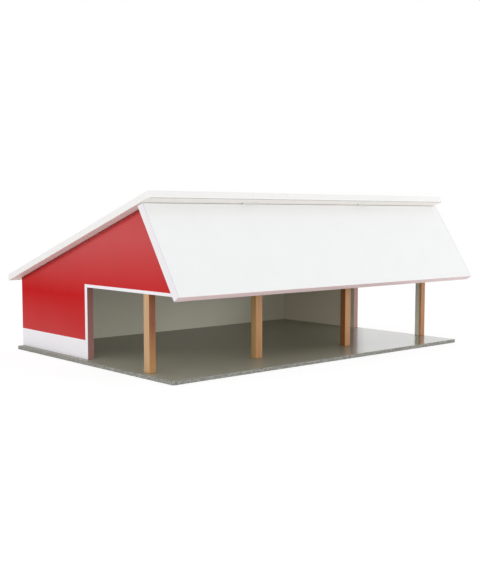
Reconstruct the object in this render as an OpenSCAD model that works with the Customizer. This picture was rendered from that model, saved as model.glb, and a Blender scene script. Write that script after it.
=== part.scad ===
// Toy machine shed with an open front, in millimetres.
// The origin is the middle of the base board's underside. +X runs along the ridge,
// +Y from the open front to the rear wall, +Z up.

/* [Base board] */
// Width of the base board
base_w = 598; // [560:1:640]
// Depth of the base board, front to rear
base_d = 419.5; // [380:0.5:460]
// Thickness of the base board
base_t = 5.5; // [5:0.5:10]
// Radius of its corners, seen from above
base_corner_r = 5; // [2:0.5:10]

/* [Walls] */
// Thickness of the side walls and the rear wall
wall_t = 10.5; // [9:0.5:14]
// Strip of base left showing outside the left wall
left_margin = 11; // [0:0.5:20]
// Strip of base left showing outside the right wall
right_margin = 1; // [0:0.5:20]
// Height of the side walls at their rear edge
wall_rear_h = 110; // [100:0.5:130]
// Clear height of the side doorways
doorway_h = 105.5; // [80:0.5:115]
// Distance from the base's front edge to the doorways' jambs
doorway_d = 221; // [180:1:260]

/* [Ridge and slopes] */
// Distance from the base's front edge back to the ridge
ridge_setback = 74; // [60:0.5:90]
// Slope of the long rear roof, in degrees
roof_pitch = 18; // [14:0.5:20]
// Slope of the steep front panel, in degrees
front_pitch = 57; // [50:0.5:64]

/* [Rear roof board] */
// Thickness of the rear roof board
roof_t = 9.5; // [8:0.5:14]
// How far it runs past the front panel, along its slope
roof_front_overhang = 20.7; // [12:0.1:30]
// How far it runs past the rear wall, along its slope
roof_rear_overhang = 17.6; // [5:0.1:30]
// How far it runs past each side wall
roof_side_overhang = 15; // [4:0.5:25]

/* [Front roof panel] */
// Thickness of the front panel
panel_t = 11; // [9:0.5:14]
// How far it runs below the doorways' lintels, along its slope
panel_drop = 5; // [1:0.5:15]
// How far it runs past the left side wall
panel_left_overhang = 12; // [2:0.5:20]
// How far it runs past the right side wall
panel_right_overhang = 21; // [2:0.5:30]
// Gap between the roof board's underside and the front panel and ridge rail
seam_gap = 0.6; // [0.4:0.1:1]
// Gap between the roof board's underside and the tops of the walls
lid_gap = 0.1; // [0.05:0.05:0.3]
// Thickness of the glued edge strips
edging_t = 1; // [0.5:0.1:2]

/* [Posts and ridge rail] */
// Wider side of the post timber
post_wide = 13; // [11:0.5:18]
// Narrower side of the post timber
post_thin = 10.5; // [9:0.5:14]
// How far the middle of the row of posts stands ahead of the ridge
post_ahead = 1.3; // [0:0.1:5]
// Distance between the middles of the two inner posts
inner_post_gap = 192; // [150:1:230]
// How far the ridge rail reaches behind the ridge
rail_back = 22; // [18:0.5:30]
// Height of the ridge rail below the ridge
rail_h = 27.5; // [25:0.5:35]

/* [Hinges] */
// Distance between the middles of the two hinges
hinge_spacing = 244; // [150:1:400]
// Width of a hinge along the ridge
hinge_w = 24; // [20:1:36]
// Length of a leaf, from the pin's axis
leaf_len = 24; // [21:0.5:28]
// Thickness of a leaf
leaf_t = 0.8; // [0.6:0.1:1.2]
// Outer radius of the knuckles
knuckle_r = 1.8; // [1.6:0.1:2]
// How far the knuckles stand proud of the fixed leaf, below it
knuckle_proud = 0.15; // [0.05:0.05:0.3]
// Radius of the hinge pin
pin_r = 0.8; // [0.6:0.1:0.9]
// Running clearance around the pin in the moving knuckle
pin_clear = 0.05; // [0.02:0.01:0.08]
// Clearance around the pin in the fixed knuckles
pin_seat = 0.02; // [0.01:0.01:0.04]
// Gap between neighbouring knuckles
knuckle_gap = 0.4; // [0.3:0.1:0.6]
// How far the pin's axis stands ahead of the front panel
pin_ahead = 2.6; // [2.4:0.1:4]
// Radius of the pin's peened ends
pin_end_r = 1.3; // [1:0.1:1.5]
// Thickness of the pin's peened ends
pin_end_t = 0.6; // [0.4:0.1:1]
// Room left around the hinges in the roof board
hinge_room = 0.5; // [0.4:0.1:1]
// Gap between the folded leaves
leaf_gap = 0.2; // [0.2:0.1:0.4]

/* [Screws, brads and dowels] */
// Shank radius of the hinge screws
hinge_screw_r = 1.1; // [0.9:0.1:1.3]
// Head radius of the hinge screws
hinge_head_r = 2.2; // [1.8:0.1:2.6]
// Head height of the hinge screws
hinge_head_h = 1.3; // [1.1:0.1:1.6]
// Length of the screws in the ridge rail
rail_screw_len = 11; // [8:0.5:14]
// Length of the screws in the roof board
lid_screw_len = 7; // [5:0.5:7.5]
// Distance from a hinge's middle to its screws
hinge_screw_off = 7; // [6:0.5:8.5]
// Distance from the ridge to the rail screws, back along the slope
rail_screw_back = 4.5; // [3:0.5:6]
// Distance from the ridge to the lid screws, ahead along the slope
lid_screw_ahead = 3.5; // [2:0.5:5]
// Shank radius of the base screws
base_screw_r = 1.5; // [1.2:0.1:1.9]
// Head radius of the base screws
base_head_r = 3; // [2.6:0.1:3.6]
// Head height of the base screws
base_head_h = 2; // [1.6:0.1:2.6]
// How deep the base screws' heads are sunk
base_head_sink = 0.3; // [0.1:0.1:0.8]
// Length of the screws into the walls and posts
base_screw_len = 22; // [16:0.5:26]
// Distance from a side wall's ends to its base screws
wall_screw_in = 29; // [20:1:50]
// Distance between neighbouring base screws of the rear wall
rear_screw_gap = 200; // [120:1:230]
// Radius of the brads in the front panel
brad_r = 0.7; // [0.5:0.1:0.9]
// Length of the brads
brad_len = 22; // [18:0.5:25]
// Distance between neighbouring brads along the rail
brad_gap = 160; // [100:1:170]
// Distance from the ridge down the slope to the rail's brads
rail_brad_down = 16; // [12:0.5:18]
// Distance from the ridge down the slope to a side wall's first brad
wall_brad_down = 30; // [26:0.5:36]
// Distance between neighbouring brads of a side wall
wall_brad_gap = 42; // [30:0.5:44]
// Radius of the wall and rail dowels
dowel_r = 3; // [2.5:0.1:3.5]
// Length of the wall and rail dowels
dowel_len = 18; // [14:0.5:22]
// Depth of these dowels in the side walls
dowel_in_wall = 6; // [4:0.5:8]
// Height of the lower corner dowels above the base
corner_dowel_low = 34; // [28:1:45]
// Distance between the two dowels of a corner
corner_dowel_gap = 50; // [30:1:60]
// Depth of the rail dowels' axis below the ridge
rail_dowel_down = 18.5; // [16:0.5:20]
// Distance of the rail dowels' axis behind the ridge
rail_dowel_back = 12; // [9:0.5:14]
// Radius of the dowels in the post tops
post_dowel_r = 2.5; // [2:0.1:3]
// Length of the dowels in the post tops
post_dowel_len = 16; // [12:0.5:20]
// Clearance around screws, brads and dowels
hole_clear = 0.05; // [0.02:0.01:0.1]

/* [Hidden] */
$fn = 48;
// Overshoot that lets cuts run past a face
cut = 1;
// Number of screws in each group
RAIL_BRADS = 4;
WALL_BRADS = 3;
REAR_SCREWS = 3;

// Faces of the shed in X
left_x = -base_w / 2 + left_margin;
right_x = base_w / 2 - right_margin;
mid_x = (left_x + right_x) / 2;
left_in_x = left_x + wall_t;
right_in_x = right_x - wall_t;

// Lines of the shed in Y
front_y = -base_d / 2;
rear_y = base_d / 2;
jamb_y = front_y + doorway_d;
ridge_y = front_y + ridge_setback;
post_y = ridge_y - post_ahead;

// Heights
lintel_z = base_t + doorway_h;
wall_rear_z = base_t + wall_rear_h;
ridge_z = wall_rear_z + (rear_y - ridge_y) * tan(roof_pitch);
rail_z = ridge_z - rail_h;

// Ends of the front panel along X
panel_left_x = left_x - panel_left_overhang;
panel_right_x = right_x + panel_right_overhang;

// Lengths along the two slopes, measured from the ridge
crown = roof_pitch + front_pitch;
panel_cap = panel_t / sin(crown);
slope_len = (ridge_z - lintel_z) / sin(front_pitch);
panel_len = slope_len + panel_drop;
roof_front = panel_cap + roof_front_overhang;
roof_rear = (rear_y - ridge_y) / cos(roof_pitch) + roof_rear_overhang;
pin_at = panel_cap + pin_ahead;

// Knuckles along a hinge: fixed, moving, fixed
knuckle_w = (hinge_w - 2 * knuckle_gap) / 3;
// Height of the pin's axis above the roof board's underside
pin_up = knuckle_r - leaf_gap / 2 - leaf_t - knuckle_proud;
// Leaves stay this far from the pin's axis beside the other leaf's knuckles
leaf_start = knuckle_r + hinge_room;
// The moving leaf's tab starts in the middle of the knuckle's wall
tab_start = (pin_r + knuckle_r) / 2;

outer_post_x = [left_x + post_thin / 2, right_x - post_thin / 2];
inner_post_x = [mid_x - inner_post_gap / 2, mid_x + inner_post_gap / 2];
hinge_x = [mid_x - hinge_spacing / 2, mid_x + hinge_spacing / 2];
side_wall_x = [left_x + wall_t / 2, right_x - wall_t / 2];
side_screw_y = [jamb_y + wall_screw_in, rear_y - wall_screw_in];
rear_wall_y = rear_y - wall_t / 2;
rear_screw_x = [for (i = [0 : REAR_SCREWS - 1]) mid_x + (i - (REAR_SCREWS - 1) / 2) * rear_screw_gap];
rail_brad_x = [for (i = [0 : RAIL_BRADS - 1]) mid_x + (i - (RAIL_BRADS - 1) / 2) * brad_gap];
wall_brad_down_at = [for (i = [0 : WALL_BRADS - 1]) wall_brad_down + i * wall_brad_gap];

// Extrudes a side-view outline, given as [y, z] points, from x0 to x1
module along_x(x0, x1, points)
    translate([x0, 0, 0]) rotate([90, 0, 90]) linear_extrude(height = x1 - x0) polygon(points);

// Cylinder along X, centred on the origin
module x_cylinder(r, len)
    rotate([0, 90, 0]) cylinder(r = r, h = len, center = true);

// Frame of the rear roof: origin on the ridge, +Y down the slope to the rear, +Z out of it
module roof_frame() translate([0, ridge_y, ridge_z]) rotate([-roof_pitch, 0, 0]) children();

// Frame of the front panel: origin on the ridge, +Y up the slope, +Z out of it
module panel_frame() translate([0, ridge_y, ridge_z]) rotate([front_pitch, 0, 0]) children();

// Countersunk screw with its head's face on z = 0 and its shank along -Z; gap widens it all round
module screw(len, r, head_r, head_h, gap = 0) {
    translate([0, 0, -len - gap]) cylinder(r = r + gap, h = len + gap);
    translate([0, 0, -head_h]) cylinder(r1 = r + gap, r2 = head_r + gap, h = head_h);
    if (gap > 0) cylinder(r = head_r + gap, h = cut);
}

module hinge_screw(len, gap = 0) screw(len, hinge_screw_r, hinge_head_r, hinge_head_h, gap);

// Screw that comes up through the base board
module base_screw(gap = 0)
    translate([0, 0, base_head_sink]) rotate([180, 0, 0])
        screw(base_screw_len, base_screw_r, base_head_r, base_head_h, gap);

module wall_base_screw_set(gap = 0) {
    for (x = side_wall_x, y = side_screw_y) translate([x, y, 0]) base_screw(gap);
    for (x = rear_screw_x) translate([x, rear_wall_y, 0]) base_screw(gap);
}

module post_base_screw_set(gap = 0)
    for (x = concat(outer_post_x, inner_post_x)) translate([x, post_y, 0]) base_screw(gap);

module corner_dowel_set(gap = 0)
    for (i = [0, 1], s = [0, 1])
        translate([s == 0 ? left_in_x : right_in_x, rear_wall_y,
                base_t + corner_dowel_low + i * corner_dowel_gap])
            mirror([s, 0, 0]) translate([dowel_len / 2 - dowel_in_wall, 0, 0])
                x_cylinder(dowel_r + gap, dowel_len + 2 * gap);

module rail_dowel_set(gap = 0)
    for (s = [0, 1])
        translate([s == 0 ? left_in_x : right_in_x, ridge_y + rail_dowel_back,
                ridge_z - rail_dowel_down])
            mirror([s, 0, 0]) translate([dowel_len / 2 - dowel_in_wall, 0, 0])
                x_cylinder(dowel_r + gap, dowel_len + 2 * gap);

module post_dowel_set(gap = 0) {
    for (x = outer_post_x) translate([x, post_y, lintel_z])
        cylinder(r = post_dowel_r + gap, h = post_dowel_len + 2 * gap, center = true);
    for (x = inner_post_x) translate([x, post_y, rail_z])
        cylinder(r = post_dowel_r + gap, h = post_dowel_len + 2 * gap, center = true);
}

// One brad, driven square into the front panel down the slope from the ridge
module brad(down, gap = 0)
    panel_frame() translate([0, -down, panel_t - brad_len - gap])
        cylinder(r = brad_r + gap, h = brad_len + gap + (gap > 0 ? cut : 0));

module brad_set(gap = 0) {
    for (x = rail_brad_x) translate([x, 0, 0]) brad(rail_brad_down, gap);
    for (x = side_wall_x, d = wall_brad_down_at) translate([x, 0, 0]) brad(d, gap);
}

// Screws of both hinges in the ridge rail, heads up
module rail_screw_set(gap = 0)
    for (x = hinge_x, s = [-1, 1]) roof_frame()
        translate([x + s * hinge_screw_off, rail_screw_back, -leaf_gap / 2])
            hinge_screw(rail_screw_len, gap);

// Screws of both hinges in the roof board, heads down
module lid_screw_set(gap = 0)
    for (x = hinge_x, s = [-1, 1]) roof_frame()
        translate([x + s * hinge_screw_off, -lid_screw_ahead, leaf_gap / 2]) rotate([180, 0, 0])
            hinge_screw(lid_screw_len, gap);

// Point [y, z] on the front panel's inner face, gap below the roof board's underside
function crown_point(gap) =
    [ridge_y, ridge_z] - gap / sin(crown) * [cos(front_pitch), sin(front_pitch)];

// Height of the roof board's underside over y, less the gap below it
function under_roof(y, gap) = ridge_z - (y - ridge_y) * tan(roof_pitch) - gap / cos(roof_pitch);

// Side wall outline, seen from the side
function wall_outline() = [
    [rear_y, base_t], [rear_y, under_roof(rear_y, lid_gap)], crown_point(lid_gap),
    [ridge_y - slope_len * cos(front_pitch), lintel_z], [jamb_y, lintel_z], [jamb_y, base_t]];

// Front panel outline in its own frame
function panel_outline() = [
    [-panel_len, 0], [-seam_gap / sin(crown), 0],
    [-(seam_gap + panel_t * cos(crown)) / sin(crown), panel_t], [-panel_len, panel_t]];

// Rear roof board outline in its own frame, square at the front and plumb at the rear;
// front and rear are how far in from its ends the outline starts and stops
function roof_outline(front = 0, rear = 0) = let (lean = roof_t * tan(roof_pitch)) [
    [-roof_front + front, 0], [roof_rear - rear, 0],
    [roof_rear - rear - lean, roof_t], [-roof_front + front, roof_t]];

// Slab of a leaf, beside the knuckles; z0 is its lower face
module leaf_slab(z0)
    translate([-hinge_w / 2, -pin_at + leaf_start, z0])
        cube([hinge_w, leaf_len - leaf_start, leaf_t]);

// Tab and knuckle of width w that join a leaf's slab to the pin; x0 is their left end,
// and from is how far behind the pin's axis the tab starts
module knuckle(x0, w, z0, bore_r, from)
    difference() {
        union() {
            translate([x0, -pin_at + from, z0])
                cube([w, leaf_start + leaf_t - from, leaf_t]);
            translate([x0 + w / 2, -pin_at, pin_up]) x_cylinder(knuckle_r, w);
        }
        translate([x0 + w / 2, -pin_at, pin_up]) x_cylinder(bore_r, w + 2 * cut);
    }

module fixed_leaf(x) roof_frame() translate([x, 0, 0]) difference() {
    union() {
        leaf_slab(-leaf_gap / 2 - leaf_t);
        for (s = [0, 1])
            knuckle(-hinge_w / 2 + s * (hinge_w - knuckle_w), knuckle_w,
                -leaf_gap / 2 - leaf_t, pin_r + pin_seat, 0);
    }
    for (s = [-1, 1]) translate([s * hinge_screw_off, rail_screw_back, -leaf_gap / 2])
        hinge_screw(rail_screw_len, hole_clear);
}

module moving_leaf(x) roof_frame() translate([x, 0, 0]) difference() {
    union() {
        leaf_slab(leaf_gap / 2);
        knuckle(-knuckle_w / 2, knuckle_w, leaf_gap / 2, pin_r + pin_clear, tab_start);
    }
    for (s = [-1, 1]) translate([s * hinge_screw_off, -lid_screw_ahead, leaf_gap / 2])
        rotate([180, 0, 0]) hinge_screw(lid_screw_len, hole_clear);
}

module hinge_pin(x) roof_frame() translate([x, -pin_at, pin_up]) {
    x_cylinder(pin_r, hinge_w + pin_end_t);
    for (s = [-1, 1]) translate([s * (hinge_w + pin_end_t) / 2, 0, 0]) x_cylinder(pin_end_r, pin_end_t);
}

// Seats of the fixed leaves, cut into the rail and the top of the front panel
module fixed_leaf_seats()
    for (x = hinge_x) roof_frame() translate([x, 0, 0])
        translate([-hinge_w / 2 - hole_clear, -pin_at, -leaf_gap / 2 - leaf_t])
            cube([hinge_w + 2 * hole_clear, leaf_len + hole_clear, leaf_t + cut]);

// Seats of the moving leaves and the grooves around the knuckles, cut into the roof board
module moving_leaf_seats()
    for (x = hinge_x) roof_frame() translate([x, 0, 0]) {
        translate([-hinge_w / 2 - hole_clear, -pin_at, -cut])
            cube([hinge_w + 2 * hole_clear, leaf_len + hole_clear, cut + leaf_gap / 2 + leaf_t]);
        translate([0, -pin_at, pin_up])
            x_cylinder(knuckle_r + hinge_room, hinge_w + 2 * (pin_end_t + hinge_room));
    }

module base_board() color([0.55, 0.55, 0.51]) difference() {
    union() {
        translate([-base_w / 2 + base_corner_r, -base_d / 2, 0])
            cube([base_w - 2 * base_corner_r, base_d, base_t]);
        translate([-base_w / 2, -base_d / 2 + base_corner_r, 0])
            cube([base_w, base_d - 2 * base_corner_r, base_t]);
        for (x = [-1, 1], y = [-1, 1])
            translate([x * (base_w / 2 - base_corner_r), y * (base_d / 2 - base_corner_r), 0])
                cylinder(r = base_corner_r, h = base_t);
    }
    wall_base_screw_set(hole_clear);
    post_base_screw_set(hole_clear);
}

module side_wall(x0) difference() {
    along_x(x0, x0 + wall_t, wall_outline());
    wall_base_screw_set(hole_clear);
    corner_dowel_set(hole_clear);
    rail_dowel_set(hole_clear);
    post_dowel_set(hole_clear);
    brad_set(hole_clear);
}

module left_side_wall() color([0.76, 0.17, 0.17]) side_wall(left_x);

module right_side_wall() color([0.76, 0.17, 0.17]) side_wall(right_in_x);

module rear_wall() color([0.93, 0.93, 0.93]) difference() {
    along_x(left_in_x, right_in_x, [
        [rear_y - wall_t, base_t], [rear_y, base_t], [rear_y, under_roof(rear_y, lid_gap)],
        [rear_y - wall_t, under_roof(rear_y - wall_t, lid_gap)]]);
    wall_base_screw_set(hole_clear);
    corner_dowel_set(hole_clear);
}

module front_roof_panel() color([0.95, 0.95, 0.95]) difference() {
    panel_frame() along_x(panel_left_x + edging_t, panel_right_x - edging_t, panel_outline());
    brad_set(hole_clear);
    fixed_leaf_seats();
}

module front_panel_edging() color([0.97, 0.97, 0.98]) panel_frame() {
    along_x(panel_left_x, panel_left_x + edging_t, panel_outline());
    along_x(panel_right_x - edging_t, panel_right_x, panel_outline());
}

module ridge_rail() color([0.80, 0.66, 0.46]) difference() {
    along_x(left_in_x, right_in_x, [
        crown_point(seam_gap), [ridge_y + rail_back, under_roof(ridge_y + rail_back, seam_gap)],
        [ridge_y + rail_back, rail_z],
        [ridge_y - rail_h / tan(front_pitch), rail_z]]);
    rail_dowel_set(hole_clear);
    post_dowel_set(hole_clear);
    brad_set(hole_clear);
    rail_screw_set(hole_clear);
    fixed_leaf_seats();
}

// Post centred on x, from the base to top_z, w wide and d deep
module post(x, w, d, top_z) color([0.77, 0.58, 0.36]) difference() {
    translate([x - w / 2, post_y - d / 2, base_t]) cube([w, d, top_z - base_t]);
    post_base_screw_set(hole_clear);
    post_dowel_set(hole_clear);
}

module left_outer_post() post(outer_post_x[0], post_thin, post_wide, lintel_z);

module left_inner_post() post(inner_post_x[0], post_wide, post_thin, rail_z);

module right_inner_post() post(inner_post_x[1], post_wide, post_thin, rail_z);

module right_outer_post() post(outer_post_x[1], post_thin, post_wide, lintel_z);

module left_hinge_fixed_leaf() color([0.88, 0.88, 0.86]) fixed_leaf(hinge_x[0]);

module right_hinge_fixed_leaf() color([0.88, 0.88, 0.86]) fixed_leaf(hinge_x[1]);

module left_hinge_pin() color([0.45, 0.45, 0.44]) hinge_pin(hinge_x[0]);

module right_hinge_pin() color([0.45, 0.45, 0.44]) hinge_pin(hinge_x[1]);

module hinge_rail_screws() color([0.75, 0.75, 0.74]) rail_screw_set();

module wall_base_screws() color([0.75, 0.75, 0.74]) wall_base_screw_set();

module post_base_screws() color([0.75, 0.75, 0.74]) post_base_screw_set();

module front_panel_brads() color([0.9, 0.9, 0.9]) brad_set();

module wall_corner_dowels() color([0.85, 0.74, 0.55]) corner_dowel_set();

module ridge_rail_dowels() color([0.85, 0.74, 0.55]) rail_dowel_set();

module post_top_dowels() color([0.85, 0.74, 0.55]) post_dowel_set();

module rear_roof_board() color([0.95, 0.95, 0.94]) difference() {
    roof_frame() along_x(left_x - roof_side_overhang + edging_t,
        right_x + roof_side_overhang - edging_t,
        roof_outline(edging_t, edging_t));
    lid_screw_set(hole_clear);
    moving_leaf_seats();
}

module roof_front_edging() color([0.97, 0.97, 0.98])
    roof_frame() along_x(left_x - roof_side_overhang + edging_t,
        right_x + roof_side_overhang - edging_t,
        [[-roof_front, 0], [-roof_front + edging_t, 0],
            [-roof_front + edging_t, roof_t], [-roof_front, roof_t]]);

module roof_rear_edging() color([0.97, 0.97, 0.98]) let (lean = roof_t * tan(roof_pitch))
    roof_frame() along_x(left_x - roof_side_overhang + edging_t,
        right_x + roof_side_overhang - edging_t,
        [[roof_rear - edging_t, 0], [roof_rear, 0],
            [roof_rear - lean, roof_t], [roof_rear - edging_t - lean, roof_t]]);

module roof_gable_edging() color([0.97, 0.97, 0.98]) roof_frame() {
    along_x(left_x - roof_side_overhang, left_x - roof_side_overhang + edging_t, roof_outline());
    along_x(right_x + roof_side_overhang - edging_t, right_x + roof_side_overhang, roof_outline());
}

module left_hinge_moving_leaf() color([0.88, 0.88, 0.86]) moving_leaf(hinge_x[0]);

module right_hinge_moving_leaf() color([0.88, 0.88, 0.86]) moving_leaf(hinge_x[1]);

module hinge_lid_screws() color([0.75, 0.75, 0.74]) lid_screw_set();

base_board();
left_side_wall();
right_side_wall();
rear_wall();
front_roof_panel();
front_panel_edging();
ridge_rail();
left_outer_post();
left_inner_post();
right_inner_post();
right_outer_post();
left_hinge_fixed_leaf();
right_hinge_fixed_leaf();
left_hinge_pin();
right_hinge_pin();
hinge_rail_screws();
wall_base_screws();
post_base_screws();
front_panel_brads();
wall_corner_dowels();
ridge_rail_dowels();
post_top_dowels();
rear_roof_board();
roof_front_edging();
roof_rear_edging();
roof_gable_edging();
left_hinge_moving_leaf();
right_hinge_moving_leaf();
hinge_lid_screws();
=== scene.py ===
"""Open-fronted toy machine shed: finishes, softened boards, studio and camera.

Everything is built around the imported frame. Sizes are in millimetres, unless a docstring
says otherwise, and every piece's place is in its mesh.
"""

import logging
import math
from dataclasses import dataclass, field
from enum import Enum
from typing import Union

import bmesh
import bpy
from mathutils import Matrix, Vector, noise


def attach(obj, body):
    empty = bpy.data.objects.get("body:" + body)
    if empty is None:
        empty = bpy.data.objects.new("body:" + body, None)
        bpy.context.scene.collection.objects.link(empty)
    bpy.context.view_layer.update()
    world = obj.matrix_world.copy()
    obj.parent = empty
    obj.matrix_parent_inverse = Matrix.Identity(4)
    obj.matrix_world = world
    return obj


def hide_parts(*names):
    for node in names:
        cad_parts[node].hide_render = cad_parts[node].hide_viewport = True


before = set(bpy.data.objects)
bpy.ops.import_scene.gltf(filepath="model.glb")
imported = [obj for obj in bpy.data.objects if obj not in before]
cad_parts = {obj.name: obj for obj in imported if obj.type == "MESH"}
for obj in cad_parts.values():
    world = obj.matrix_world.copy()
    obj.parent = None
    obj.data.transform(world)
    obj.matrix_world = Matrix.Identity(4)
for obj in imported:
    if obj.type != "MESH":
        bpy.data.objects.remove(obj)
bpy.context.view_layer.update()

LOG = logging.getLogger("machine_shed")
MM = 0.001
NEAR_ZERO = 1e-6

Colour = tuple[float, float, float, float]
Point = tuple[float, float, float]
Operand = Union["Wire", float]

LEFT: Point = (-1.0, 0.0, 0.0)
RIGHT: Point = (1.0, 0.0, 0.0)
FORE: Point = (0.0, -1.0, 0.0)
AFT: Point = (0.0, 1.0, 0.0)
UP: Point = (0.0, 0.0, 1.0)
DOWN: Point = (0.0, 0.0, -1.0)

# Sockets of a Mix node that mixes colours, which share their names with its other sockets.
MIX_FACTOR, MIX_FIRST, MIX_SECOND, MIX_RESULT = 0, 6, 7, 2


class Body(Enum):
    """The two rigid bodies of the shed."""

    SHED = "shed"
    LID = "roof_lid"


class Grain(Enum):
    """Which axis the fibres of a wooden piece run along."""

    ALONG_X = 0
    UPRIGHT = 2


def srgb(red: float, green: float, blue: float) -> Colour:
    """Turn a colour as seen on screen into the linear colour that a shader takes.

    Args:
        red: Red from 0 to 255.
        green: Green from 0 to 255.
        blue: Blue from 0 to 255.

    Returns:
        Linear red, green, blue and an alpha of 1.
    """
    shares = [value / 255 for value in (red, green, blue)]
    linear = [s / 12.92 if s <= 0.04045 else ((s + 0.055) / 1.055) ** 2.4 for s in shares]
    return (*linear, 1.0)


FULL_WHITE: Colour = (1.0, 1.0, 1.0, 1.0)
TRIM_WHITE = srgb(244, 244, 248)
PALE_INSIDE = srgb(226, 223, 207)

# Height of the white plinth above the base, and how deep a side's own colour goes.
PLINTH = 28.0
SKIN = 0.35


@dataclass(frozen=True)
class Pattern:
    """Noise of one patch size, with how far it swings and how fine and strong its layers are."""

    size: float
    swing: float = 1.0
    layers: float = 2.0
    rough: float = 0.5


class Wire:
    """One output of a node, used as a value in Python expressions."""

    def __init__(self, bench: "Bench", socket: bpy.types.NodeSocket) -> None:
        """Wrap a node's output socket."""
        self.bench = bench
        self.socket = socket

    def _math(self, operation: str, first: Operand, second: Operand = 0.0) -> "Wire":
        """Add a Math node on two operands."""
        return self.bench.node("ShaderNodeMath", {"operation": operation}, {0: first, 1: second})

    def __add__(self, other: Operand) -> "Wire":
        """Sum."""
        return self._math("ADD", self, other)

    def __radd__(self, other: Operand) -> "Wire":
        """Sum with a number on the left."""
        return self._math("ADD", other, self)

    def __sub__(self, other: Operand) -> "Wire":
        """Difference."""
        return self._math("SUBTRACT", self, other)

    def __rsub__(self, other: Operand) -> "Wire":
        """Difference from a number on the left."""
        return self._math("SUBTRACT", other, self)

    def __mul__(self, other: Operand) -> "Wire":
        """Product."""
        return self._math("MULTIPLY", self, other)

    def __rmul__(self, other: Operand) -> "Wire":
        """Product with a number on the left."""
        return self._math("MULTIPLY", other, self)

    def __truediv__(self, other: Operand) -> "Wire":
        """Quotient."""
        return self._math("DIVIDE", self, other)

    def __abs__(self) -> "Wire":
        """Distance from zero."""
        return self._math("ABSOLUTE", self)

    def larger(self, other: Operand) -> "Wire":
        """Larger of two values, which joins two masks."""
        return self._math("MAXIMUM", self, other)

    def clamped(self) -> "Wire":
        """Value held between 0 and 1."""
        return self.bench.node("ShaderNodeClamp", {}, {"Value": self})

    def above(self, edge: float, width: float) -> "Wire":
        """Mask that rises from 0 to 1 as the value passes an edge.

        Args:
            edge: Value at the middle of the rise.
            width: How far the rise reaches from 0 to 1.

        Returns:
            The mask.
        """
        return ((self - edge) / width + 0.5).clamped()


class Bench:
    """A node tree that is being filled, with short ways to add the nodes used here."""

    def __init__(self, tree: bpy.types.NodeTree) -> None:
        """Empty the tree and work on it."""
        self.tree = tree
        tree.nodes.clear()

    def node(self, kind: str, settings: dict | None = None, inputs: dict | None = None,
             output: int | str = 0) -> Wire:
        """Add a node, set it up and wire its inputs.

        Args:
            kind: Node type.
            settings: Its properties by name.
            inputs: Values or wires by socket name or index.
            output: Which output to hand back.

        Returns:
            The chosen output.
        """
        made = self.tree.nodes.new(kind)
        for name, value in (settings or {}).items():
            setattr(made, name, value)
        for key, value in (inputs or {}).items():
            if isinstance(value, Wire):
                self.tree.links.new(value.socket, made.inputs[key])
            else:
                made.inputs[key].default_value = value
        return Wire(self, made.outputs[output])

    def close(self, kind: str, shader: Wire) -> None:
        """Wire a shader to the tree's output node."""
        self.tree.links.new(shader.socket, self.tree.nodes.new(kind).inputs["Surface"])

    def place(self) -> Wire:
        """Object coordinates in millimetres."""
        metres = self.node("ShaderNodeTexCoord", output="Object")
        return self.node("ShaderNodeVectorMath", {"operation": "SCALE"},
                         {0: metres, "Scale": 1 / MM})

    def along(self, direction: Point) -> Wire:
        """How far the surface lies in a direction, from the origin."""
        return self.node("ShaderNodeVectorMath", {"operation": "DOT_PRODUCT"},
                         {0: self.place(), 1: direction}, "Value")

    def noise(self, pattern: Pattern, stretch: Point = (1.0, 1.0, 1.0)) -> Wire:
        """Noise from 0 to 1.

        Args:
            pattern: Its patches and layers.
            stretch: How much longer a patch is along X, Y and Z.

        Returns:
            The noise value.
        """
        scale = tuple(1 / (pattern.size * part) for part in stretch)
        where = self.node("ShaderNodeMapping", {"vector_type": "POINT"},
                          {"Vector": self.place(), "Scale": scale})
        return self.node("ShaderNodeTexNoise", {"noise_dimensions": "3D"},
                         {"Vector": where, "Scale": 1.0, "Detail": pattern.layers,
                          "Roughness": pattern.rough})

    def swing(self, pattern: Pattern) -> Wire:
        """Noise around 0, half of the pattern's swing to either side."""
        return (self.noise(pattern) - 0.5) * pattern.swing

    def mix(self, factor: Operand, first: Wire | Colour, second: Wire | Colour,
            blend: str = "MIX") -> Wire:
        """Mix two colours.

        Args:
            factor: Share of the second colour.
            first: Colour at factor 0.
            second: Colour at factor 1.
            blend: How they are mixed.

        Returns:
            The mixed colour.
        """
        return self.node("ShaderNodeMix", {"data_type": "RGBA", "blend_type": blend},
                         {MIX_FACTOR: factor, MIX_FIRST: first, MIX_SECOND: second}, MIX_RESULT)

    def tint(self, colour: Wire | Colour, amount: Wire) -> Wire:
        """Darken or lighten a colour by a factor around 1."""
        grey = self.node("ShaderNodeCombineXYZ", {}, {0: amount, 1: amount, 2: amount})
        return self.mix(1.0, colour, grey, "MULTIPLY")


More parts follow.
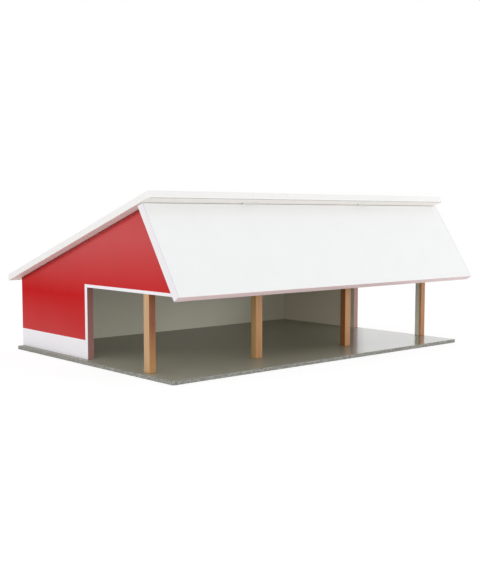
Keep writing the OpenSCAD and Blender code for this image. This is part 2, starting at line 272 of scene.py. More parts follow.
@dataclass(frozen=True)
class ShedSizes:
    """Sizes and slopes of the shed as its construction has them; pitches in degrees."""

    base_w: float = 598
    base_d: float = 419.5
    base_t: float = 5.5
    base_corner_r: float = 5
    wall_t: float = 10.5
    left_x: float = -288
    right_x: float = 298
    jamb_y: float = 11.25
    rear_y: float = 209.75
    ridge_y: float = -135.75
    ridge_z: float = 227.76
    lintel_z: float = 111
    roof_pitch: float = 18
    front_pitch: float = 57

    @property
    def ridge(self) -> Vector:
        """The ridge line's point in the middle plane."""
        return Vector((0, self.ridge_y, self.ridge_z))

    @property
    def roof_up(self) -> Point:
        """Unit vector square to the roof board, upwards."""
        pitch = math.radians(self.roof_pitch)
        return (0.0, math.sin(pitch), math.cos(pitch))

    @property
    def roof_down(self) -> Point:
        """Unit vector square to the roof board, downwards."""
        return tuple(-part for part in self.roof_up)

    @property
    def roof_ahead(self) -> Point:
        """Unit vector up along the roof board, towards its front edge."""
        pitch = math.radians(self.roof_pitch)
        return (0.0, -math.cos(pitch), math.sin(pitch))

    @property
    def panel_down(self) -> Point:
        """Unit vector down along the front panel."""
        pitch = math.radians(self.front_pitch)
        return (0.0, -math.cos(pitch), -math.sin(pitch))

    @property
    def roof_reach(self) -> float:
        """How far the roof's underside lies from the origin, square to the roof."""
        return self.ridge.dot(Vector(self.roof_up))


SHED = ShedSizes()


@dataclass(frozen=True)
class Zone:
    """Part of a piece beyond a plane, with a colour of its own.

    The plane is where a point's reach along direction equals start. The zone's border wanders
    by ragged over lengths of wander_size, and blends over edge_w.
    """

    direction: Point
    start: float
    colour: Colour
    ragged: float = 0.2
    wander_size: float = 5
    edge_w: float = 0.12

    def mask(self, bench: Bench) -> Wire:
        """Mask that is 1 inside the zone, with a border that wanders a little."""
        wander = bench.swing(Pattern(self.wander_size, self.ragged))
        return (bench.along(self.direction) + wander).above(self.start, self.edge_w)


@dataclass(frozen=True)
class Finish:
    """What every finish shares: a name, a gloss, a small relief and a clear coat's qualities."""

    name: str
    roughness: float = 0.4
    relief: float = 0.02
    shine: float = 0.5
    coat_roughness: float = 0.2
    coat_ior: float = 1.5
    relief_pattern: Pattern = Pattern(1.2, layers=3)
    gloss_pattern: Pattern = Pattern(18, 0.16, 3)

    def build(self) -> bpy.types.Material:
        """Make the material.

        Returns:
            The finished material.
        """
        material = bpy.data.materials.new(self.name)
        material.use_nodes = True
        bench = Bench(material.node_tree)
        colour = self.colour(bench)
        bump = bench.node("ShaderNodeBump", {}, {
            "Strength": 1.0, "Distance": self.relief * MM, "Height": self.height(bench)})
        shader = bench.node("ShaderNodeBsdfPrincipled", {}, {
            "Base Color": colour, "Roughness": self.gloss(bench), "Normal": bump,
            "Metallic": self.metal(), "Specular IOR Level": self.shine,
            "Coat Weight": self.coat(bench), "Coat Roughness": self.coat_roughness,
            "Coat IOR": self.coat_ior})
        bench.close("ShaderNodeOutputMaterial", shader)
        return material

    def colour(self, bench: Bench) -> Wire:
        """Surface colour."""
        raise NotImplementedError

    def height(self, bench: Bench) -> Wire:
        """Relief from 0 to 1."""
        return bench.noise(self.relief_pattern)

    def gloss(self, bench: Bench) -> Wire:
        """Roughness, which swings a little over the surface."""
        return bench.swing(self.gloss_pattern) + self.roughness

    def coat(self, bench: Bench) -> Operand:
        """Share of clear varnish over the surface."""
        return 0.0

    def metal(self) -> float:
        """How metallic the surface is."""
        return 0.0


@dataclass(frozen=True)
class Speck:
    """Small filled spot on a surface."""

    place: Point
    radius: float = 1.3
    colour: Colour = srgb(196, 196, 200)
    edge_w: float = 1.2
    strength: float = 0.8

    def mask(self, bench: Bench) -> Wire:
        """Mask of the spot.

        Args:
            bench: Node tree of the material.

        Returns:
            The mask.
        """
        away = bench.node("ShaderNodeVectorMath", {"operation": "DISTANCE"},
                          {0: bench.place(), 1: self.place}, "Value")
        return (away * -1.0).above(-self.radius, self.edge_w) * self.strength


@dataclass(frozen=True)
class BoardCoat(Finish):
    """Rolled paint on a board, with zones such as a bare cut edge."""

    coat_colour: Colour = field(kw_only=True)
    mottle: float = 0.02
    cloud_size: float = 40
    fine_size: float = 1.5
    zones: tuple[Zone, ...] = ()
    specks: tuple[Speck, ...] = ()

    def colour(self, bench: Bench) -> Wire:
        """Paint with faint cloudiness, then each zone's own colour and each speck.

        Args:
            bench: Node tree of the material.

        Returns:
            The colour.
        """
        cloud = bench.swing(Pattern(self.cloud_size, 2 * self.mottle, 3)) + 1.0
        shade = cloud + bench.swing(Pattern(self.fine_size, self.mottle))
        mixed = bench.tint(self.coat_colour, shade)
        for zone in self.zones:
            mixed = bench.mix(zone.mask(bench), mixed, bench.tint(zone.colour, shade))
        for speck in self.specks:
            mixed = bench.mix(speck.mask(bench), mixed, speck.colour)
        return mixed


@dataclass(frozen=True)
class WallPaint(Finish):
    """Red side wall with a white plinth and doorway border, pale inside and bare at its cuts.

    Depth runs from the outer face at outer_x inwards; inward is 1 on the left wall and -1 on
    the right one. The varnish is thinnest at the height dullest_z. It would be full at
    gloss_above over that height and at gloss_below under it.
    """

    relief_pattern: Pattern = Pattern(1.0, layers=4, rough=0.6)
    outer_x: float = SHED.left_x
    inward: float = 1.0
    face_edge: float = 0.1

    red: Colour = srgb(198, 38, 39)
    # Cut edges in a dusty pink-brown, painted darker as painted shade, for the left wall's cut
    # edges that stand in shadow.
    bare: Colour = srgb(154, 106, 100)
    inside: Colour = PALE_INSIDE
    cloud: Pattern = Pattern(55, 0.10, 3)
    brushed: Pattern = Pattern(1.6, 0.10, 3, 0.6)
    sawn: Pattern = Pattern(2.5, 0.3, 4, 0.7)
    trim_cloud: float = 0.1
    inside_cloud: float = 0.2

    border: float = 6
    lintel_border: float = 4.5
    line_edge: float = 0.2
    line_wander: Pattern = Pattern(4, 0.5)

    # Painted shadow of the eave: how dark the red turns just below the roof board, and how far down
    # it reaches.
    eave_shade: float = 0.40
    eave_reach: float = 8

    dullest_z: float = 98
    gloss_above: float = 84
    gloss_below: float = 140
    gloss_patches: Pattern = Pattern(45, 0.16, 3)

    def coat(self, bench: Bench) -> Wire:
        """Paint that dried glossier towards the ridge and the plinth.

        Args:
            bench: Node tree of the material.

        Returns:
            Share of clear varnish.
        """
        z = bench.along(UP)
        rise = (z - self.dullest_z) / self.gloss_above
        fall = (self.dullest_z - z) / self.gloss_below
        return (rise.larger(fall) + bench.swing(self.gloss_patches)).clamped()

    def _field(self, bench: Bench) -> Wire:
        """Mask of the red field inside its masked lines.

        Args:
            bench: Node tree of the material.

        Returns:
            The mask.
        """
        y, z = bench.along(AFT), bench.along(UP)
        wander = bench.swing(self.line_wander)
        over_door = (z + wander).above(SHED.lintel_z + self.lintel_border, self.line_edge)
        behind_door = (y + wander).above(SHED.jamb_y + self.border, self.line_edge)
        over_plinth = (z + wander).above(SHED.base_t + PLINTH, self.line_edge)
        return over_door.larger(behind_door) * over_plinth

    def _painted_eave_shadow(self, bench: Bench) -> Wire:
        """Painted shadow: factor that darkens the red close under the roof board, where the eave
        shades the wall.

        Args:
            bench: Node tree of the material.

        Returns:
            The factor.
        """
        below_roof = bench.along(SHED.roof_up) - SHED.roof_reach
        nearness = (below_roof + self.eave_reach) / self.eave_reach
        return 1.0 - nearness.clamped() * (1.0 - self.eave_shade)

    def colour(self, bench: Bench) -> Wire:
        """Red field with white round it on the outside, bare cut edges, pale inner face.

        Args:
            bench: Node tree of the material.

        Returns:
            The colour.
        """
        cloud = bench.swing(self.cloud) + 1.0
        # The red's own cloudy tone, times the painted shadow under the eave.
        red_tone_and_eave_shadow = (cloud + bench.swing(self.brushed)) * self._painted_eave_shadow(bench)
        trim = bench.tint(TRIM_WHITE, cloud * self.trim_cloud + (1.0 - self.trim_cloud))
        outer = bench.mix(self._field(bench), trim, bench.tint(self.red, red_tone_and_eave_shadow))
        cut = bench.tint(self.bare, bench.swing(self.sawn) + 1.0)
        inner = bench.tint(self.inside, cloud * self.inside_cloud + (1.0 - self.inside_cloud))
        depth = (bench.along(RIGHT) - self.outer_x) * self.inward
        at_back = bench.along(AFT).above(SHED.rear_y - SKIN, self.face_edge)
        at_inside = depth.above(SHED.wall_t - SKIN, self.face_edge) * (1.0 - at_back)
        shell = bench.mix(depth.above(SKIN, self.face_edge), outer, cut)
        shell = bench.mix(at_back, shell, outer)
        return bench.mix(at_inside, shell, inner)


@dataclass(frozen=True)
class SawnSide(Zone):
    """Cut side of a post whose colour may turn to a darker one upwards, as painted shade under the
    front panel.
    """

    shaded_top: Colour = field(kw_only=True)
    # Height at the middle of the turn into painted shade, and how far that turn reaches.
    turns_at: float = 40
    turns_over: float = 60

    def wood(self, bench: Bench) -> Wire:
        """Colour of the side at each height, with the painted shade at the top."""
        climb = bench.along(UP).above(self.turns_at, self.turns_over)
        return bench.mix(climb, self.colour, self.shaded_top)


@dataclass(frozen=True)
class Wood(Finish):
    """Planed light timber with lengthwise grain."""

    grain: Grain = Grain.UPRIGHT
    light: Colour = srgb(209, 173, 131)
    dark: Colour = srgb(182, 140, 96)
    painted: tuple[Zone, ...] = ()
    sawn: tuple[SawnSide, ...] = ()

    rings: Pattern = Pattern(3.2, layers=3, rough=0.6)
    ring_run: float = 26
    ring_share: float = 0.7
    fibres: Pattern = Pattern(0.7, layers=2, rough=0.6)
    fibre_run: float = 45
    fibre_share: float = 0.3

    streak_from: float = 0.32
    streak_gain: float = 2.6
    sawn_light: float = 1.18
    sawn_swing: float = 0.36

    def _stretch(self, length: float) -> Point:
        """Stretch that makes a patch long along the grain.

        Args:
            length: How many times longer it is than wide.

        Returns:
            The stretch along X, Y and Z.
        """
        sides = [1.0, 1.0, 1.0]
        sides[self.grain.value] = length
        return tuple(sides)

    def _streaks(self, bench: Bench) -> Wire:
        """Growth rings seen as long soft streaks, with fine fibres over them.

        Args:
            bench: Node tree of the material.

        Returns:
            The streaks, from 0 to 1.
        """
        broad = bench.noise(self.rings, self._stretch(self.ring_run))
        fine = bench.noise(self.fibres, self._stretch(self.fibre_run))
        return broad * self.ring_share + fine * self.fibre_share

    def colour(self, bench: Bench) -> Wire:
        """Light wood with darker streaks, then the painted sides, then the cut sides.

        Args:
            bench: Node tree of the material.

        Returns:
            The colour.
        """
        streaks = ((self._streaks(bench) - self.streak_from) * self.streak_gain).clamped()
        mixed = bench.mix(streaks, self.light, self.dark)
        for zone in self.painted:
            mixed = bench.mix(zone.mask(bench), mixed, zone.colour)
        for side in self.sawn:
            shade = self.sawn_light - streaks * self.sawn_swing
            mixed = bench.mix(side.mask(bench), mixed, bench.tint(side.wood(bench), shade))
        return mixed

    def height(self, bench: Bench) -> Wire:
        """Darker streaks stand a little proud."""
        return self._streaks(bench)


@dataclass(frozen=True)
class BaseSheet(Finish):
    """Sealed grey sheet with a glossy top and rough speckled edges.

    The rim starts rim_from inside the outline, and below the top by top_skin.
    """

    top: Colour = srgb(138, 137, 123)
    fleck: Pattern = Pattern(1.4, 0.05, 3, 0.6)
    cloud: Pattern = Pattern(60, 0.08, 3)
    # Painted light: how much lighter the top turns towards its left front corner, along which way,
    # from where and over what distance.
    painted_light: float = 0.42
    painted_light_way: Point = (-0.507, -0.862, 0.0)
    painted_light_from: float = 110
    painted_light_reach: float = 100

    varnish_way: Point = (0.665, -0.747, 0.0)
    varnish_from: float = 186
    varnish_reach: float = 36

    rim_light: Colour = srgb(186, 186, 178)
    rim_dark: Colour = srgb(104, 104, 98)
    rim_from: float = 1.6
    rim_edge: float = 0.8
    top_skin: float = 0.6
    crumbs: Pattern = Pattern(1.5, layers=4, rough=0.7)
    crumbs_from: float = 0.40
    crumbs_gain: float = 4.5
    rim_dullness: float = 0.5
    top_relief: float = 0.005

    def _rim(self, bench: Bench) -> Wire:
        """Mask that is 1 near the outer edge and on the underside.

        Args:
            bench: Node tree of the material.

        Returns:
            The mask.
        """
        aside = abs(bench.along(RIGHT)).above(SHED.base_w / 2 - self.rim_from, self.rim_edge)
        ahead = abs(bench.along(AFT)).above(SHED.base_d / 2 - self.rim_from, self.rim_edge)
        below = bench.along(DOWN).above(self.top_skin - SHED.base_t, self.top_skin)
        return aside.larger(ahead).larger(below)

    def colour(self, bench: Bench) -> Wire:
        """Even grey top with painted light that makes it lighter towards its left front corner,
        where more light falls; speckled rim.

        Args:
            bench: Node tree of the material.

        Returns:
            The colour.
        """
        cloud = bench.swing(self.cloud) + 1.0
        # Share of the painted light at each point.
        pale = bench.along(self.painted_light_way).above(self.painted_light_from, self.painted_light_reach)
        top = bench.tint(self.top, bench.swing(self.fleck) + cloud + pale * self.painted_light)
        crumbs = (bench.noise(self.crumbs) - self.crumbs_from) * self.crumbs_gain
        rim = bench.mix(crumbs.clamped(), self.rim_dark, self.rim_light)
        return bench.mix(self._rim(bench), top, rim)

    def coat(self, bench: Bench) -> Wire:
        """Varnish on the top, towards its right front corner."""
        cover = bench.along(self.varnish_way).above(self.varnish_from, self.varnish_reach)
        return cover * (1.0 - self._rim(bench))

    def gloss(self, bench: Bench) -> Wire:
        """Evenly glossy top, dull rim."""
        return self._rim(bench) * self.rim_dullness + self.roughness

    def height(self, bench: Bench) -> Wire:
        """Nearly flat top, coarse rim."""
        share = self._rim(bench) * (1.0 - self.top_relief) + self.top_relief
        return bench.noise(self.crumbs) * share


@dataclass(frozen=True)
class Metal(Finish):
    """Steel, bare or under enamel."""

    shade: Colour = field(kw_only=True)
    metallic: float = 1.0
    patches: Pattern = Pattern(2, 0.16, 3)

    def colour(self, bench: Bench) -> Wire:
        """Even metal with faint patches."""
        return bench.tint(self.shade, bench.swing(self.patches) + 1.0)

    def metal(self) -> float:
        """How metallic the surface is."""
        return self.metallic


def reach_of(node: str, direction: Point) -> float:
    """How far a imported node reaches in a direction, from the origin."""
    way = Vector(direction)
    return max(vert.co.dot(way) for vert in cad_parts[node].data.vertices) / MM


def skin_of(node: str, direction: Point, colour: Colour, depth: float = SKIN,
            ragged: float = 0.2) -> Zone:
    """Zone over the side of a node that faces a direction.

    Args:
        node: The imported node.
        direction: Way that the side faces, a unit vector.
        colour: Colour of the zone.
        depth: How deep it goes.
        ragged: How far its border wanders.

    Returns:
        The zone.
    """
    return Zone(direction, reach_of(node, direction) - depth, colour, ragged)


@dataclass(frozen=True)
class Softening:
    """How the long outer edges of a board are eased over; least_turn in degrees."""

    radius: float = 0.4
    segments: int = 2
    shortest: float = 8.0
    least_turn: float = 20.0

    def picks(self, edge: bmesh.types.BMEdge) -> bool:
        """Whether an edge is a long outer one."""
        return (len(edge.link_faces) == 2 and edge.calc_length() > self.shortest * MM
                and edge.calc_face_angle_signed(0.0) > math.radians(self.least_turn))


@dataclass(frozen=True)
class FrontRounding:
    """Rounds the roof board's two front corners as seen square to the board.

    Left, right and front are how far the whole board reaches that way. The mesh is divided
    along lines that meet its outer edges at each of the angles, in degrees, as seen from the
    centre of rounding.
    """

    left: float
    right: float
    front: float
    radius: float = 5.5
    angles: tuple[float, ...] = (0.0, 15.0, 30.0, 45.0)
    slack: float = 1e-4

    def _cut(self, mesh: bmesh.types.BMesh, reach: float, way: Vector) -> None:
        """Divide the mesh where its reach along a direction equals a value."""
        bmesh.ops.bisect_plane(mesh, geom=[*mesh.verts, *mesh.edges, *mesh.faces],
                               dist=NEAR_ZERO, plane_co=way * reach * MM, plane_no=way)

    def bend(self, mesh: bmesh.types.BMesh) -> None:
        """Divide the corners and draw their points in towards each centre of rounding.

        Args:
            mesh: Mesh of the board or of one strip.
        """
        ahead = Vector(SHED.roof_ahead)
        sides = ((Vector(LEFT), self.left), (Vector(RIGHT), self.right))
        for angle in self.angles:
            part = self.radius * (1 - math.tan(math.radians(angle)))
            for way, reach in sides:
                self._cut(mesh, reach - part, way)
            self._cut(mesh, self.front - part, ahead)
        for vert in mesh.verts:
            over_front = vert.co.dot(ahead) / MM - self.front + self.radius
            for way, reach in sides:
                over_side = vert.co.dot(way) / MM - reach + self.radius
                if min(over_front, over_side) > self.slack:
                    share = max(over_front, over_side) / math.hypot(over_front, over_side) - 1
                    vert.co += (way * over_side + ahead * over_front) * share * MM


class Workshop:
    """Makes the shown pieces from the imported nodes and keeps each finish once.

    Faces that turn by less than flat_turn degrees are joined into one.
    """

    flat_turn: float = 1.0

    def __init__(self) -> None:
        """Start with no finish made."""
        self._made: dict[str, bpy.types.Material] = {}

    def material(self, finish: Finish) -> bpy.types.Material:
        """Material of a finish, made on first use.

        Args:
            finish: The finish.

        Returns:
            Its material.
        """
        if finish.name not in self._made:
            self._made[finish.name] = finish.build()
        return self._made[finish.name]

    def dress(self, node: str, finish: Finish) -> None:
        """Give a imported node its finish.

        Args:
            node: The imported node.
            finish: Its finish.
        """
        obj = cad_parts[node]
        obj.data.materials.clear()
        obj.data.materials.append(self.material(finish))
        LOG.info("%s: %s", node, finish.name)

    def merged(self, node: str) -> bmesh.types.BMesh:
        """Copy of a node's mesh with its triangles joined into whole faces.

        Args:
            node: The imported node.

        Returns:
            The copy.
        """
        mesh = bmesh.new()
        mesh.from_mesh(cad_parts[node].data)
        bmesh.ops.remove_doubles(mesh, verts=mesh.verts, dist=NEAR_ZERO)
        bmesh.ops.dissolve_limit(mesh, angle_limit=math.radians(self.flat_turn),
                                 verts=mesh.verts, edges=mesh.edges)
        return mesh

    def show(self, mesh: bmesh.types.BMesh, name: str, node: str, body: Body, slot: str,
             finish: Finish) -> None:
        """Turn a finished mesh into a piece that stands for a node.

        Args:
            mesh: The piece's mesh; it is freed.
            name: The piece's name.
            node: The node that it stands for.
            body: The body that it rides on.
            slot: Not used.
            finish: Its finish.
        """
        data = bpy.data.meshes.new(name)
        mesh.to_mesh(data)
        mesh.free()
        data.materials.append(self.material(finish))
        obj = bpy.data.objects.new(name, data)
        bpy.context.scene.collection.objects.link(obj)
        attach(obj, body.value)
        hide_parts(node)
        LOG.info("%s: %d faces, %s", name, len(data.polygons), finish.name)

    def soften(self, node: str, body: Body, slot: str, finish: Finish,
               easing: Softening = Softening(), rounding: FrontRounding | None = None) -> None:
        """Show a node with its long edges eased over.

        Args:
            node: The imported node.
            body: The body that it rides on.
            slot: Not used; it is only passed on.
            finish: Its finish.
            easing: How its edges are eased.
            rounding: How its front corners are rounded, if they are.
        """
        mesh = self.merged(node)
        bmesh.ops.bevel(mesh, geom=[e for e in mesh.edges if easing.picks(e)],
                        offset=easing.radius * MM, offset_type="OFFSET",
                        segments=easing.segments, profile=0.5, affect="EDGES",
                        clamp_overlap=True, material=-1)
        if rounding:
            rounding.bend(mesh)
        bmesh.ops.triangulate(mesh, faces=[f for f in mesh.faces if len(f.verts) > 4],
                              quad_method="BEAUTY", ngon_method="BEAUTY")
        self.show(mesh, node + "_eased", node, body, slot, finish)


@dataclass
class BaseBoard:
    """The sheet that everything stands on, with a rim roughened by chance.

    Two layers of noise, coarse and fine, set how far each rim point moves inwards: ragged
    times a share that grows towards the underside. Near the underside it is lifted too. Only
    points within rough_w of the outline move.
    """

    shop: Workshop
    top_ease: float = 1.1
    top_segments: int = 3
    low_ease: float = 0.6
    low_segments: int = 2
    step: float = 2.4

    ragged: float = 0.45
    coarse_size: float = 5.0
    coarse_share: float = 0.5
    fine_size: float = 1.9
    fine_share: float = 0.35
    middle_share: float = 0.45
    inward_share: float = 0.5
    lifted_part: float = 0.4
    lift_share: float = 0.8

    rough_w: float = 1.5
    rim_w: float = 2.0
    length_slack: float = 1.0
    outline_slack: float = 0.02
    height_slack: float = 0.01
    finish: Finish = BaseSheet("sealed_grey_sheet", roughness=0.28, relief=0.25, shine=0.15,
                               coat_roughness=0.1, coat_ior=1.75)

    def _from_edge(self, point: Vector) -> tuple[float, Vector]:
        """Measure how far a point lies outside the sheet's outline.

        Args:
            point: The point, in metres.

        Returns:
            The distance, which is negative inside, and the way outwards.
        """
        corner = SHED.base_corner_r
        half_w, half_d = SHED.base_w / 2 - corner, SHED.base_d / 2 - corner
        x, y = point.x / MM, point.y / MM
        past_x, past_y = abs(x) - half_w, abs(y) - half_d
        over = Vector((max(past_x, 0.0), max(past_y, 0.0)))
        if over.length > NEAR_ZERO:
            way = Vector((math.copysign(over.x, x), math.copysign(over.y, y), 0.0)).normalized()
            return over.length - corner, way
        if past_x > past_y:
            return past_x - corner, Vector((math.copysign(1.0, x), 0.0, 0.0))
        return past_y - corner, Vector((0.0, math.copysign(1.0, y), 0.0))

    def _rim_edges(self, mesh: bmesh.types.BMesh, height: float) -> list[bmesh.types.BMEdge]:
        """Pick the edges on the outline at one height.

        Args:
            mesh: Mesh of the sheet.
            height: The height.

        Returns:
            The edges.
        """
        return [e for e in mesh.edges if all(
            abs(v.co.z / MM - height) < self.height_slack
            and abs(self._from_edge(v.co)[0]) < self.outline_slack for v in e.verts)]

    def _divide(self, mesh: bmesh.types.BMesh, axis: int, length: float) -> None:
        """Cut the long rim edges along one axis into short ones.

        Args:
            mesh: Mesh of the sheet.
            axis: 0 for X, 1 for Y.
            length: How long those edges are.
        """
        chosen = [e for e in mesh.edges
                  if abs(abs(e.verts[0].co[axis] - e.verts[1].co[axis]) / MM - length)
                  < self.length_slack
                  and all(self._from_edge(v.co)[0] > -self.rim_w for v in e.verts)]
        bmesh.ops.subdivide_edges(mesh, edges=chosen, cuts=int(length / self.step),
                                  use_grid_fill=True)

    def _roughen(self, vert: bmesh.types.BMVert) -> None:
        """Move one rim point inwards and off the lower arris by chance.

        Args:
            vert: The point; one that lies well inside the outline stays.
        """
        outside, way = self._from_edge(vert.co)
        if outside < -self.rough_w:
            return
        at = vert.co / MM
        chance = (self.coarse_share * noise.noise(at / self.coarse_size)
                  + self.fine_share * noise.noise(at / self.fine_size) + self.middle_share)
        inwards = self.ragged * min(max(chance, 0.0), 1.0)
        low = 1.0 - min(max(at.z / (SHED.base_t / 2), 0.0), 1.0)
        vert.co -= way * inwards * MM * (self.inward_share + low)
        if at.z < SHED.base_t * self.lifted_part:
            vert.co.z += inwards * MM * low * self.lift_share

    def build(self) -> None:
        """Ease the rim, cut it into short steps and roughen it."""
        mesh = self.shop.merged("base_board")
        for height, ease, segments in ((SHED.base_t, self.top_ease, self.top_segments),
                                       (0.0, self.low_ease, self.low_segments)):
            bmesh.ops.bevel(mesh, geom=self._rim_edges(mesh, height), offset=ease * MM,
                            offset_type="OFFSET", segments=segments, profile=0.5,
                            affect="EDGES", clamp_overlap=False, material=-1)
        self._divide(mesh, 0, SHED.base_w - 2 * SHED.base_corner_r)
        self._divide(mesh, 1, SHED.base_d - 2 * SHED.base_corner_r)
        for vert in mesh.verts:
            self._roughen(vert)
        self.shop.show(mesh, "base_board_eased", "base_board", Body.SHED, "base_paint", self.finish)


@dataclass
class Walls:
    """Two L-shaped side walls and the rear wall."""

    shop: Workshop
    left: Finish = WallPaint("left_wall_paint", relief=0.03, shine=0.0)
    # The right wall's cut edges are painted lighter than the left's, as painted light, and its
    # inner face darker and browner, as painted shade.
    right: Finish = WallPaint("right_wall_paint", relief=0.03, shine=0.0,
                              outer_x=SHED.right_x, inward=-1.0, bare=srgb(192, 152, 146),
                              inside=srgb(218, 211, 192))
    rear: Finish = BoardCoat("rear_wall_paint", roughness=0.5, shine=0.3,
                             coat_colour=srgb(188, 30, 32),
                             zones=(Zone(DOWN, -(SHED.base_t + PLINTH), TRIM_WHITE),
                                    Zone(FORE, -(SHED.rear_y - SKIN), PALE_INSIDE)))

    def build(self) -> None:
        """Show the three walls."""
        for node, finish in (("left_side_wall", self.left), ("right_side_wall", self.right),
                             ("rear_wall", self.rear)):
            self.shop.soften(node, Body.SHED, "wall_paint", finish)


@dataclass
class FrontPanel:
    """Steep white panel over the open front, with its end strips and brads."""

    shop: Workshop
    white: Colour = srgb(240, 241, 241)
    bare: Colour = srgb(246, 221, 221)
    seam: Colour = srgb(196, 204, 208)
    seam_w: float = 0.45
    seam_wander: float = 0.05
    nail_x: float = -212.0
    nail_down: float = 44.6
    strip: Finish = BoardCoat("panel_end_strip", roughness=0.3, relief=0.01,
                              coat_colour=srgb(238, 235, 239), mottle=0.01)
    strip_easing: Softening = Softening(radius=0.25)
    brads: Finish = BoardCoat("painted_brad", coat_colour=srgb(232, 233, 232))

    def _face(self) -> Finish:
        """Choose the board's coat: white, a bare lower cut edge, seams at its ends, one nail.

        Returns:
            The finish.
        """
        node, down = "front_roof_panel", SHED.panel_down
        seams = [skin_of(node, side, self.seam, self.seam_w, self.seam_wander)
                 for side in (LEFT, RIGHT)]
        nail = SHED.ridge + Vector(down) * self.nail_down + Vector(RIGHT) * self.nail_x
        return BoardCoat("front_panel_coat", roughness=0.42, relief=0.03,
                         coat_colour=self.white, zones=(skin_of(node, down, self.bare), *seams),
                         specks=(Speck(tuple(nail)),))

    def build(self) -> None:
        """Show the panel and its strips, and paint the brads' heads."""
        self.shop.soften("front_roof_panel", Body.SHED, "board_white", self._face())
        self.shop.soften("front_panel_edging", Body.SHED, "edge_strip", self.strip,
                         self.strip_easing)
        self.shop.dress("front_panel_brads", self.brads)


@dataclass
class RoofLid:
    """Long white roof board that lifts at the ridge, with its edge strips."""

    shop: Workshop
    white: Colour = srgb(241, 241, 240)
    # Underside, lighter and creamier than the top: painted light, standing in for the warm light
    # thrown up onto it.
    under: Colour = srgb(250, 246, 241)
    glue_line: Colour = srgb(112, 112, 104)
    glue_w: float = 0.9
    glue_wander: float = 0.05
    strip: Finish = BoardCoat("roof_edge_strip", roughness=0.3, relief=0.01,
                              coat_colour=srgb(242, 241, 240), mottle=0.01)
    strip_easing: Softening = Softening(radius=0.25)

    def _face(self) -> Finish:
        """Choose the board's coat: white, lighter and creamier below as painted reflected light, a
        fine glue line behind its front.

        Returns:
            The finish.
        """
        node = "rear_roof_board"
        line = skin_of(node, SHED.roof_ahead, self.glue_line, self.glue_w, self.glue_wander)
        return BoardCoat("roof_board_coat", roughness=0.42, relief=0.03, shine=0.1,
                         coat_colour=self.white,
                         zones=(skin_of(node, SHED.roof_down, self.under), line))

    def build(self) -> None:
        """Show the board and its strips, rounded together at the two front corners."""
        rounding = FrontRounding(reach_of("roof_gable_edging", LEFT),
                                 reach_of("roof_gable_edging", RIGHT),
                                 reach_of("roof_front_edging", SHED.roof_ahead))
        self.shop.soften("rear_roof_board", Body.LID, "board_white", self._face(),
                         rounding=rounding)
        for node in ("roof_front_edging", "roof_rear_edging", "roof_gable_edging"):
            self.shop.soften(node, Body.LID, "edge_strip", self.strip, self.strip_easing,
                             rounding)


@dataclass(frozen=True)
class Cut:
    """Cut side of a post: the way it faces, its colour low down, its colour at the top with any
    painted shade, and its depth.
    """

    way: Point
    low: Colour
    shaded_top: Colour
    depth: float = SKIN

    def side(self, node: str) -> SawnSide:
        """Zone over this side of a packed post."""
        start = reach_of(node, self.way) - self.depth
        return SawnSide(self.way, start, self.low, shaded_top=self.shaded_top)


@dataclass(frozen=True)
class Post:
    """Post with its cut sides, its painted sides and the two tones of its planed faces."""

    node: str
    cuts: tuple[Cut, ...]
    painted: tuple[Point, ...] = ()
    light: Colour = Wood.light
    dark: Colour = Wood.dark

    def finish(self) -> Finish:
        """Choose the post's wood.

        Returns:
            The finish.
        """
        return Wood(self.node + "_wood", roughness=0.5, relief=0.05,
                    light=self.light, dark=self.dark,
                    painted=tuple(skin_of(self.node, way, PALE_INSIDE) for way in self.painted),
                    sawn=tuple(cut.side(self.node) for cut in self.cuts))


@dataclass
class Timbers:
    """The ridge rail and the four posts under it."""

    shop: Workshop
    honey: Colour = srgb(176, 120, 70)
    # Top of the first post's cut sides: amber painted darker as painted shade under the front
    # panel.
    amber_in_painted_shade: Colour = srgb(134, 70, 22)
    amber: Colour = srgb(190, 138, 80)
    # Bare strip on the last post's painted side: honey wood painted lighter, as painted light on a
    # side that stands in shade.
    honey_painted_lighter: Colour = srgb(206, 156, 108)
    sand: Colour = srgb(181, 142, 90)
    # Cut sides of the right inner post: painted darker than the left inner post's, as painted shade
    # deep inside the shed.
    brown_in_painted_shade: Colour = srgb(137, 86, 37)
    tan: Colour = srgb(202, 149, 97)
    bare_strip: float = 4.1
    easing: Softening = Softening(radius=0.6, segments=3)
    rail: Finish = Wood("rail_pine", roughness=0.55, relief=0.05, grain=Grain.ALONG_X)

    def _posts(self) -> tuple[Post, ...]:
        """List the posts from left to right.

        The last one's painted side has a bare strip behind the post's front.

        Returns:
            The four posts.
        """
        inner = {"light": self.tan, "dark": self.honey}
        return (
            Post("left_outer_post", (Cut(FORE, self.amber, self.amber_in_painted_shade),
                                     Cut(AFT, self.amber, self.amber_in_painted_shade)), (RIGHT,)),
            Post("left_inner_post", (Cut(LEFT, self.sand, self.sand),
                                     Cut(RIGHT, self.sand, self.sand)), **inner),
            Post("right_inner_post", (Cut(LEFT, self.brown_in_painted_shade, self.brown_in_painted_shade),
                                      Cut(RIGHT, self.brown_in_painted_shade, self.brown_in_painted_shade)), **inner),
            Post("right_outer_post", (Cut(FORE, self.honey_painted_lighter, self.honey_painted_lighter, self.bare_strip),
                                      Cut(FORE, self.honey, self.honey),
                                      Cut(AFT, self.honey, self.honey)), (LEFT,)),
        )

    def build(self) -> None:
        """Show the rail and the posts."""
        self.shop.soften("ridge_rail", Body.SHED, "rail_wood", self.rail)
        for post in self._posts():
            self.shop.soften(post.node, Body.SHED, "post_wood", post.finish(), self.easing)


